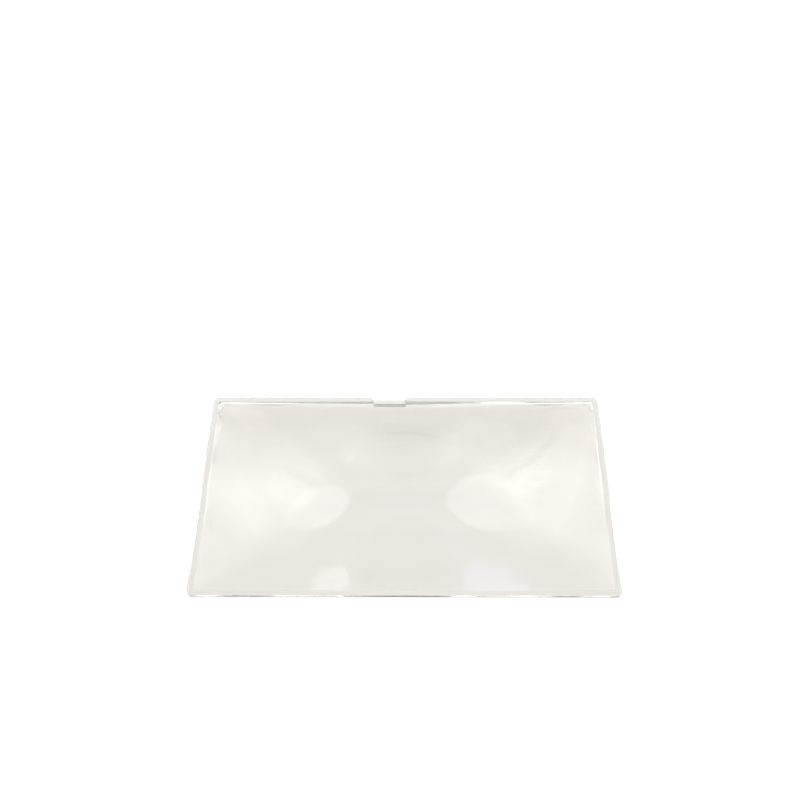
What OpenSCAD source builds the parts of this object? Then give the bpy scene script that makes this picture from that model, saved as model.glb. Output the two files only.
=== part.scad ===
// A moulded acrylic Fresnel lens: a clear rectangular sheet, plain on its back,
// with concentric circular grooves on its front inside a narrow plain rim.
// The optical axis is Z. The back lies on z = 0, and the notched edge faces +Y.

/* [Sheet] */
// Width of the sheet, along its long edges
sheet_w = 260; // [200:1:320]
// Depth of the sheet, along its short edges
sheet_d = 160; // [120:1:200]
// Thickness of the sheet at its rim
sheet_t = 2; // [1.8:0.1:4]
// Radius of the four corners, seen from above
corner_r = 3; // [1:0.5:8]
// Width of the 45 degree break along every outer edge
edge_break = 0.2; // [0.1:0.05:0.4]

/* [Grooved field] */
// Width of the plain rim around the field
rim_w = 3.5; // [1.5:0.5:8]
// Depth of the groove tips below the rim, which keeps them from rubbing
tip_recess = 0.15; // [0.1:0.05:0.3]
// Radial pitch of the grooves
pitch = 0.5; // [0.5:0.1:1.5]
// Focal length
focal = 300; // [250:10:600]
// Refractive index of the acrylic
index = 1.49; // [1.45:0.01:1.6]
// Draft of the steep wall of each groove, in degrees
draft = 4; // [2:0.5:8]

/* [Notch] */
// Width of the notch in the far long edge
notch_w = 23; // [10:1:60]
// Depth of the notch
notch_d = 2.4; // [1.5:0.1:6]
// Place of the notch's middle along the edge, from the optical axis
notch_x = -11; // [-60:1:60]
// Radius of the notch's two inner corners
notch_r = 1.2; // [0.4:0.1:1.4]

/* [Hidden] */
$fn = 96;
// How far a cutter passes the faces that it opens
over = 1;
tip_z = sheet_t - tip_recess;
field_w = sheet_w - 2 * rim_w;
field_d = sheet_d - 2 * rim_w;
// Enough grooves to pass the corners of the field
grooves = ceil(sqrt(field_w * field_w + field_d * field_d) / 2 / pitch) + 1;

// Edge profiles, as points of offset from the outline and height
broken_edge = [
    [-edge_break, 0], [0, edge_break],
    [0, sheet_t - edge_break], [-edge_break, sheet_t]
];
flared_edge = [
    [edge_break + over, -over], [0, edge_break],
    [0, sheet_t - edge_break], [edge_break + over, sheet_t + over]
];

// Slope of the facet at radius r that bends light travelling along the axis,
// from the back, to the focal point
function facet_slope(r) = r / (index * sqrt(r * r + focal * focal) - focal);

// Depth of groove i, counted from the axis, whose wall leans back by the draft
function groove_depth(i) =
    let (slope = facet_slope((i - 0.5) * pitch))
    pitch * slope / (1 + slope * tan(draft));

// Foot and tip of the steep wall that ends groove i
function groove_wall(i) = [
    [i * pitch - groove_depth(i) * tan(draft), tip_z - groove_depth(i)],
    [i * pitch, tip_z]
];

// Half section of a slab that reaches from its middle to an edge profile
function half_section(reach, edge) = concat(
    [[0, edge[0].y]],
    [for (point = edge) [reach + point.x, point.y]],
    [[0, edge[len(edge) - 1].y]]
);

// Straight bar along X with the edge profile on both of its long sides
module bar(length, width, edge) {
    rotate([90, 0, 90])
        translate([0, 0, -length / 2])
            linear_extrude(length)
                for (side = [0, 1])
                    mirror([side, 0])
                        polygon(half_section(width / 2, edge));
}

// Slab with round corners and the same edge profile all the way round
module slab(width, depth, radius, edge) {
    bar(width - 2 * radius, depth, edge);
    rotate(90)
        bar(depth - 2 * radius, width, edge);
    for (turn = [0, 90, 180, 270])
        let (across = turn % 180 == 0)
            rotate(turn)
                translate([(across ? width : depth) / 2 - radius, (across ? depth : width) / 2 - radius])
                    rotate_extrude(angle = 90)
                        polygon(half_section(radius, edge));
}

// Air over the facets: each facet falls outward, and a steep wall climbs back
module grooves_air() {
    rotate_extrude($fn = 180)
        polygon(concat(
            [[0, tip_z]],
            [for (i = [1:grooves], point = groove_wall(i)) point],
            [[grooves * pitch, sheet_t + over], [0, sheet_t + over]]
        ));
}

// The grooved field stops at four straight walls, just inside the rim
module field() {
    intersection() {
        grooves_air();
        translate([-field_w / 2, -field_d / 2, 0])
            cube([field_w, field_d, sheet_t + over / 2]);
    }
}

// The notch runs out past the far edge, with the edge break carried into it
module notch() {
    translate([notch_x, sheet_d / 2, 0])
        slab(notch_w, 2 * notch_d, notch_r, flared_edge);
}

module lens() {
    color([0.95, 0.95, 0.93], 0.4)
        difference() {
            slab(sheet_w, sheet_d, corner_r, broken_edge);
            field();
            notch();
        }
}

lens();
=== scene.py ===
import math
import bpy
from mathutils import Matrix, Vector


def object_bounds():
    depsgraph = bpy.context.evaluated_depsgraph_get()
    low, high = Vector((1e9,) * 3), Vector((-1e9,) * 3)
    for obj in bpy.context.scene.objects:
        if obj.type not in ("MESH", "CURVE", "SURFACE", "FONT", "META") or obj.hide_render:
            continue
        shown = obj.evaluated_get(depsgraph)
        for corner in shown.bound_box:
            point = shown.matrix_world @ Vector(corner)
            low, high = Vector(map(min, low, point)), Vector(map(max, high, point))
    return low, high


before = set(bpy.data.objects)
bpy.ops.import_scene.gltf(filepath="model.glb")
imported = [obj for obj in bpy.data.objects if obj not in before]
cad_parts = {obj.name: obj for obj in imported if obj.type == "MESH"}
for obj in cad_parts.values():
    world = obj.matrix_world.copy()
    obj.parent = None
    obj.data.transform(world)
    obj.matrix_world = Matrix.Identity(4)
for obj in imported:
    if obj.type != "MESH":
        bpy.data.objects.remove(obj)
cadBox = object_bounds()
scene = bpy.context.scene
scene.view_settings.view_transform = "Standard"

# Light turns many times inside the grooves before it leaves the sheet
mostBounces = 32
scene.cycles.max_bounces = mostBounces
scene.cycles.glossy_bounces = mostBounces
scene.cycles.transmission_bounces = mostBounces


# From an sRGB hex value to the linear colour that nodes and lamps take
def linear(hexColour):
    parts = [int(hexColour[i:i + 2], 16) / 255 for i in (1, 3, 5)]
    return [c / 12.92 if c <= 0.04045 else ((c + 0.055) / 1.055) ** 2.4 for c in parts] + [1]


# Settings are properties or input values, links are what feeds an input
def addNode(tree, kind, settings={}, links={}):
    node = tree.nodes.new(kind)
    for name, value in settings.items():
        if isinstance(name, int) or name in node.inputs:
            node.inputs[name].default_value = value
        else:
            setattr(node, name, value)
    for name, source in links.items():
        tree.links.new(source, node.inputs[name])
    return node


def newTree(owner):
    owner.use_nodes = True
    owner.node_tree.nodes.clear()
    return owner.node_tree


# Place at a bearing from +Y, positive towards +X, and an elevation, both in degrees
def onDome(bearing, elevation, radius):
    turn, rise = math.radians(bearing), math.radians(elevation)
    level = math.cos(rise)
    return Vector((math.sin(turn) * level, math.cos(turn) * level, math.sin(rise))) * radius


camera = {
    "place": (0.0085, -0.5138, 0.6468),  # in metres
    "turn": (42.542, 0.593, 0.532),  # in degrees
    "lens": 58.1,  # in millimetres
}

cameraData = bpy.data.cameras.new("camera")
cameraData.lens = camera["lens"]
cameraObject = bpy.data.objects.new("camera", cameraData)
cameraObject.location = camera["place"]
cameraObject.rotation_euler = [math.radians(a) for a in camera["turn"]]
scene.collection.objects.link(cameraObject)
scene.camera = cameraObject
print("camera set")


# Acrylic from a polished mould: clear as glass, faintly warm, and glossy, with
# reflections that wander a little and edges that handling has dulled
acrylic = {
    "tint": "#f1efea",  # taken up once at each face on the way through
    "shade": "#f9f8f6",  # the same, for light on its way to the ground
    "ior": 1.49,
    "smoothest": 0.02,  # roughness of the polish at its best
    "dullest": 0.05,
    "patchSize": 0.012,  # dull patches in the polish, lengths are in metres
    "patchRange": (0.35, 0.7),  # where in the noise the polish goes from best to worst
    "waveLength": 0.030,  # waves left by the mould
    "waveHeight": 0.000012,
    "halfSize": (cadBox[1][0], cadBox[1][1], 0),  # where the outer edges are
    "wornWidth": 0.0009,  # how far in the edges are worn
    "wornRoughness": 0.16,
    "scuffSize": 0.007,
    "scuffRange": (0.42, 0.62),  # where in the noise a scuff starts and is full
}


def makeAcrylic(spec):
    material = bpy.data.materials.new("mouldedAcrylic")
    tree = newTree(material)
    place = addNode(tree, "ShaderNodeTexCoord").outputs["Object"]
    # long, shallow waves left by the mould make the reflections wander
    waves = addNode(tree, "ShaderNodeTexNoise", {
        "Scale": 1 / spec["waveLength"], "Detail": 1.0, "Roughness": 0.4}, {"Vector": place})
    bump = addNode(tree, "ShaderNodeBump", {
        "Strength": 1.0, "Distance": spec["waveHeight"]}, {"Height": waves.outputs[0]})
    # patches where the polish of the mould is a little duller
    patches = addNode(tree, "ShaderNodeTexNoise", {
        "Scale": 1 / spec["patchSize"], "Detail": 3.0, "Roughness": 0.6}, {"Vector": place})
    best, worst = spec["patchRange"]
    polish = addNode(tree, "ShaderNodeMapRange", {
        "From Min": best, "From Max": worst,
        "To Min": spec["smoothest"], "To Max": spec["dullest"]}, {"Value": patches.outputs[0]})
    # scuffs that come and go along the outer edges
    folded = addNode(tree, "ShaderNodeVectorMath", {"operation": "ABSOLUTE"}, {0: place})
    outward = addNode(tree, "ShaderNodeVectorMath", {
        "operation": "SUBTRACT", 1: spec["halfSize"]}, {0: folded.outputs[0]})
    sides = addNode(tree, "ShaderNodeSeparateXYZ", {}, {0: outward.outputs[0]})
    beyond = addNode(tree, "ShaderNodeMath", {"operation": "MAXIMUM"}, {
        0: sides.outputs["X"], 1: sides.outputs["Y"]})
    nearEdge = addNode(tree, "ShaderNodeMapRange", {
        "interpolation_type": "SMOOTHSTEP", "From Min": -spec["wornWidth"], "From Max": 0.0,
        "To Min": 0.0, "To Max": spec["wornRoughness"]}, {"Value": beyond.outputs[0]})
    scuffs = addNode(tree, "ShaderNodeTexNoise", {
        "Scale": 1 / spec["scuffSize"], "Detail": 2.0, "Roughness": 0.5}, {"Vector": place})
    start, full = spec["scuffRange"]
    scuffed = addNode(tree, "ShaderNodeMapRange", {
        "From Min": start, "From Max": full}, {"Value": scuffs.outputs[0]})
    wear = addNode(tree, "ShaderNodeMath", {"operation": "MULTIPLY"}, {
        0: nearEdge.outputs[0], 1: scuffed.outputs[0]})
    finish = addNode(tree, "ShaderNodeMath", {"operation": "ADD"}, {
        0: polish.outputs[0], 1: wear.outputs[0]})
    body = addNode(tree, "ShaderNodeBsdfPrincipled", {
        "Base Color": linear(spec["tint"]), "IOR": spec["ior"], "Transmission Weight": 1.0},
        {"Roughness": finish.outputs[0], "Normal": bump.outputs[0]})
    # lamps and the ground see each other straight through the sheet
    clear = addNode(tree, "ShaderNodeBsdfTransparent", {"Color": linear(spec["shade"])})
    path = addNode(tree, "ShaderNodeLightPath")
    fromGround = addNode(tree, "ShaderNodeMixShader", {}, {
        0: path.outputs["Is Diffuse Ray"], 1: body.outputs[0], 2: clear.outputs[0]})
    fromLamps = addNode(tree, "ShaderNodeMixShader", {}, {
        0: path.outputs["Is Shadow Ray"], 1: fromGround.outputs[0], 2: clear.outputs[0]})
    addNode(tree, "ShaderNodeOutputMaterial", {}, {0: fromLamps.outputs[0]})
    return material


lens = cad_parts["lens"]
lensMaterial = makeAcrylic(acrylic)
for slot in lens.material_slots:
    slot.material = lensMaterial
print("lens finished in moulded acrylic")


# Matt white paper: even, with no shine, and a soft shadow under the sheet
ground = {
    "size": 6,
    "drop": 0.0004,
    "colour": "#e7e7e7",
    "lift": 0.24,  # brings the ground to white where it is only looked at
}

bpy.ops.object.select_all(action="DESELECT")
bpy.ops.mesh.primitive_plane_add(size=ground["size"], location=(0, 0, -ground["drop"]))
floor = bpy.context.object
floor.name = "floor"
floorMaterial = bpy.data.materials.new("paleGround")
floorTree = newTree(floorMaterial)
floorPath = addNode(floorTree, "ShaderNodeLightPath")
seen = floorPath.outputs["Is Camera Ray"]
for name in ("Is Glossy Ray", "Is Transmission Ray"):
    seen = addNode(floorTree, "ShaderNodeMath", {"operation": "MAXIMUM"}, {
        0: seen, 1: floorPath.outputs[name]}).outputs[0]
lift = addNode(floorTree, "ShaderNodeMath", {"operation": "MULTIPLY", 1: ground["lift"]}, {0: seen})
matte = addNode(floorTree, "ShaderNodeBsdfDiffuse", {"Color": linear(ground["colour"])})
glow = addNode(floorTree, "ShaderNodeEmission", {}, {"Strength": lift.outputs[0]})
both = addNode(floorTree, "ShaderNodeAddShader", {}, {0: matte.outputs[0], 1: glow.outputs[0]})
addNode(floorTree, "ShaderNodeOutputMaterial", {}, {0: both.outputs[0]})
floor.data.materials.append(floorMaterial)
print("ground laid")


sky = {
    # height as the sine of the elevation, and how bright the room is there
    "levels": ((0.0, 1.4), (0.36, 1.5), (0.62, 0.80), (0.80, 0.32), (0.91, 0.40), (0.955, 0.016)),
    "fullLevel": 1.5,
}

world = bpy.data.worlds.new("studio")
scene.world = world
skyTree = newTree(world)
skyPlace = addNode(skyTree, "ShaderNodeTexCoord")
skyHeight = addNode(skyTree, "ShaderNodeSeparateXYZ", {}, {0: skyPlace.outputs["Generated"]})
skyRamp = addNode(skyTree, "ShaderNodeValToRGB", {}, {"Fac": skyHeight.outputs["Z"]})
skyRamp.color_ramp.interpolation = "EASE"
for i, (height, level) in enumerate(sky["levels"]):
    stops = skyRamp.color_ramp.elements
    stop = stops[i] if i < 2 else stops.new(height)
    stop.position = height
    stop.color = [level / sky["fullLevel"]] * 3 + [1]
skyLevel = addNode(skyTree, "ShaderNodeMath", {
    "operation": "MULTIPLY", 1: sky["fullLevel"]}, {0: skyRamp.outputs["Color"]})
# plain white where the camera looks past the ground
skyPath = addNode(skyTree, "ShaderNodeLightPath")
skyShown = addNode(skyTree, "ShaderNodeMapRange", {"To Max": 1.0}, {
    "Value": skyPath.outputs["Is Camera Ray"], "To Min": skyLevel.outputs[0]})
skyGlow = addNode(skyTree, "ShaderNodeBackground", {"Color": linear("#ffffff")}, {
    "Strength": skyShown.outputs[0]})
addNode(skyTree, "ShaderNodeOutputWorld", {}, {0: skyGlow.outputs[0]})
print("room lit")


# Bearings, foot and top in degrees as the lens sees them, level against white paper,
# and the width in metres over which each diffuser fades at its rim
lamps = {
    "leftUpper": {"from": -68, "to": -36, "foot": 29, "top": 51, "level": 2.1, "fade": 0.12},
    "leftLower": {"from": -82, "to": -42, "foot": 0, "top": 31, "level": 2.8, "fade": 0.60},
    "rightUpper": {"from": 28.5, "to": 67, "foot": 25, "top": 57, "level": 1.7, "fade": 0.12},
    "rightLower": {"from": 34, "to": 79, "foot": 0, "top": 31, "level": 2.6, "fade": 0.50},
    "leftKicker": {"from": -122, "to": -98, "foot": 49, "top": 63, "level": 2.4, "fade": 0.20},
    "rightKicker": {"from": 92, "to": 130, "foot": 40, "top": 62, "level": 2.2, "fade": 0.40,
                    "tint": "#b9ccff"},
}
lampReach = 1.5  # metres from the lens
lampCorner = 0.48  # corner radius as a share of the shorter side


# An upright diffuser that faces the lens, with round corners
def addLamp(name, spec):
    away = lampReach * math.cos(math.radians(spec["foot"]))
    foot, top = (away * math.tan(math.radians(spec[end])) for end in ("foot", "top"))
    wide = 2 * away * math.tan(math.radians(spec["to"] - spec["from"]) / 2)
    tall = top - foot
    halfFade = spec["fade"] / 2
    radius = max(lampCorner * min(wide, tall), halfFade)
    lamp = bpy.data.lights.new(name, "AREA")
    lamp.shape = "RECTANGLE"
    lamp.size, lamp.size_y = wide + spec["fade"], tall + spec["fade"]
    lamp.energy = spec["level"] * math.pi * lamp.size * lamp.size_y
    lamp.color = linear(spec.get("tint", "#ffffff"))[:3]
    tree = newTree(lamp)
    # how far out of the round-cornered middle each point lies, in metres
    spot = addNode(tree, "ShaderNodeNewGeometry").outputs["Parametric"]
    inside = (wide / 2 - radius, tall / 2 - radius, 0)
    for operation, value in (
            ("SUBTRACT", (0.5, 0.5, 0)), ("ABSOLUTE", (0, 0, 0)),
            ("MULTIPLY", (lamp.size, lamp.size_y, 0)), ("SUBTRACT", inside),
            ("MAXIMUM", (0, 0, 0))):
        spot = addNode(tree, "ShaderNodeVectorMath", {
            "operation": operation, 1: value}, {0: spot}).outputs[0]
    reach = addNode(tree, "ShaderNodeVectorMath", {"operation": "LENGTH"}, {0: spot})
    fade = addNode(tree, "ShaderNodeMapRange", {
        "interpolation_type": "SMOOTHSTEP", "From Min": radius - halfFade,
        "From Max": radius + halfFade, "To Min": 1.0, "To Max": 0.0}, {
        "Value": reach.outputs["Value"]})
    glow = addNode(tree, "ShaderNodeEmission", {}, {"Strength": fade.outputs[0]})
    addNode(tree, "ShaderNodeOutputLight", {}, {0: glow.outputs[0]})
    lampObject = bpy.data.objects.new(name, lamp)
    bearing = (spec["from"] + spec["to"]) / 2
    lampObject.location = onDome(bearing, 0, away) + Vector((0, 0, (foot + top) / 2))
    lampObject.rotation_euler = (math.radians(-90), 0, math.radians(-bearing))
    lampObject.visible_camera = False
    scene.collection.objects.link(lampObject)


for name, spec in lamps.items():
    addLamp(name, spec)
print("lamps placed")


# Near-black cards that only the lens shows, which paint dark reflections into it: the two
# middle ones paint shade into the middle of the grooves, and the two thin ones paint dark lines
# in the far and the near edge. Bearings, foot, top and the fades of the sides and the top are in
# degrees.
cards = {
    "paintedMiddleShade": {"from": -13, "to": 13, "foot": 18, "top": 32, "reach": 1.47,
              "fade": (8, 12), "showsIn": "transmission"},
    "paintedMiddleReflection": {"from": -16, "to": 16, "foot": 0, "top": 50, "reach": 1.46,
             "fade": (8, 16), "showsIn": "glossy"},
    "paintedFarEdgeLine": {"from": -64, "to": 43, "foot": 45.6, "top": 49.3, "reach": 1.44,
             "fade": (4, 0.3), "showsIn": "transmission"},
    "paintedNearEdgeLine": {"from": -27, "to": 27, "foot": 54.7, "top": 59.2, "reach": 1.44,
            "fade": (2, 0.3), "showsIn": "transmission"},
}
# near-black, the colour of the painted dark reflections in the lens
paintedShadeColour = "#303030"


# Painted dark reflection: matt and nearly black, fading to clear towards its sides and its top,
# so that the painted shade it casts into the lens ends softly
def makePaintedShade(name, spec):
    material = bpy.data.materials.new(name + "Cloth")
    tree = newTree(material)
    place = addNode(tree, "ShaderNodeTexCoord").outputs["Object"]
    parts = addNode(tree, "ShaderNodeSeparateXYZ", {}, {0: place}).outputs
    level = addNode(tree, "ShaderNodeVectorMath", {
        "operation": "MULTIPLY", 1: (1, 1, 0)}, {0: place})
    away = addNode(tree, "ShaderNodeVectorMath", {"operation": "LENGTH"}, {0: level.outputs[0]})
    bearing = addNode(tree, "ShaderNodeMath", {"operation": "ARCTAN2"}, {
        0: parts["X"], 1: parts["Y"]})
    rise = addNode(tree, "ShaderNodeMath", {"operation": "ARCTAN2"}, {
        0: parts["Z"], 1: away.outputs["Value"]})
    sideFade, topFade = spec["fade"]
    shadeCover = None
    for angle, end, inward in (
            (bearing, "from", sideFade), (bearing, "to", -sideFade), (rise, "top", -topFade)):
        edge, full = math.radians(spec[end]), math.radians(spec[end] + inward)
        cover = addNode(tree, "ShaderNodeMapRange", {
            "interpolation_type": "SMOOTHSTEP", "From Min": edge, "From Max": full}, {
            "Value": angle.outputs[0]}).outputs[0]
        shadeCover = cover if shadeCover is None else addNode(tree, "ShaderNodeMath", {
            "operation": "MULTIPLY"}, {0: cover, 1: shadeCover}).outputs[0]
    paintedDark = addNode(tree, "ShaderNodeBsdfDiffuse", {"Color": linear(paintedShadeColour)})
    seeThrough = addNode(tree, "ShaderNodeBsdfTransparent")
    paintedDarkFading = addNode(tree, "ShaderNodeMixShader", {}, {
        0: shadeCover, 1: seeThrough.outputs[0], 2: paintedDark.outputs[0]})
    addNode(tree, "ShaderNodeOutputMaterial", {}, {0: paintedDarkFading.outputs[0]})
    return material


# A strip of a cone round the lens, cut off at its two bearings, that paints a dark reflection into
# the lens
def addCard(name, spec):
    low, high = (onDome(0, spec[end], spec["reach"]) for end in ("foot", "top"))
    bpy.ops.object.select_all(action="DESELECT")
    bpy.ops.mesh.primitive_cone_add(
        vertices=120, radius1=low.y, radius2=high.y, depth=high.z - low.z,
        end_fill_type="NOTHING", location=(0, 0, (low.z + high.z) / 2))
    card = bpy.context.object
    card.name = name
    bpy.ops.object.transform_apply(location=True, rotation=True, scale=True)
    bpy.ops.object.mode_set(mode="EDIT")
    for end, cleared in (("from", "clear_inner"), ("to", "clear_outer")):
        turn = math.radians(spec[end])
        bpy.ops.mesh.select_all(action="SELECT")
        bpy.ops.mesh.bisect(
            plane_co=(0, 0, 0), plane_no=(math.cos(turn), -math.sin(turn), 0), **{cleared: True})
    bpy.ops.object.mode_set(mode="OBJECT")
    # only the one kind of ray sees the card, so it shows as painted shade in the lens alone
    for ray in ("camera", "diffuse", "shadow", "glossy", "transmission"):
        setattr(card, "visible_" + ray, ray == spec["showsIn"])
    card.data.materials.append(makePaintedShade(name, spec))


for name, spec in cards.items():
    addCard(name, spec)
print("dark cards placed")
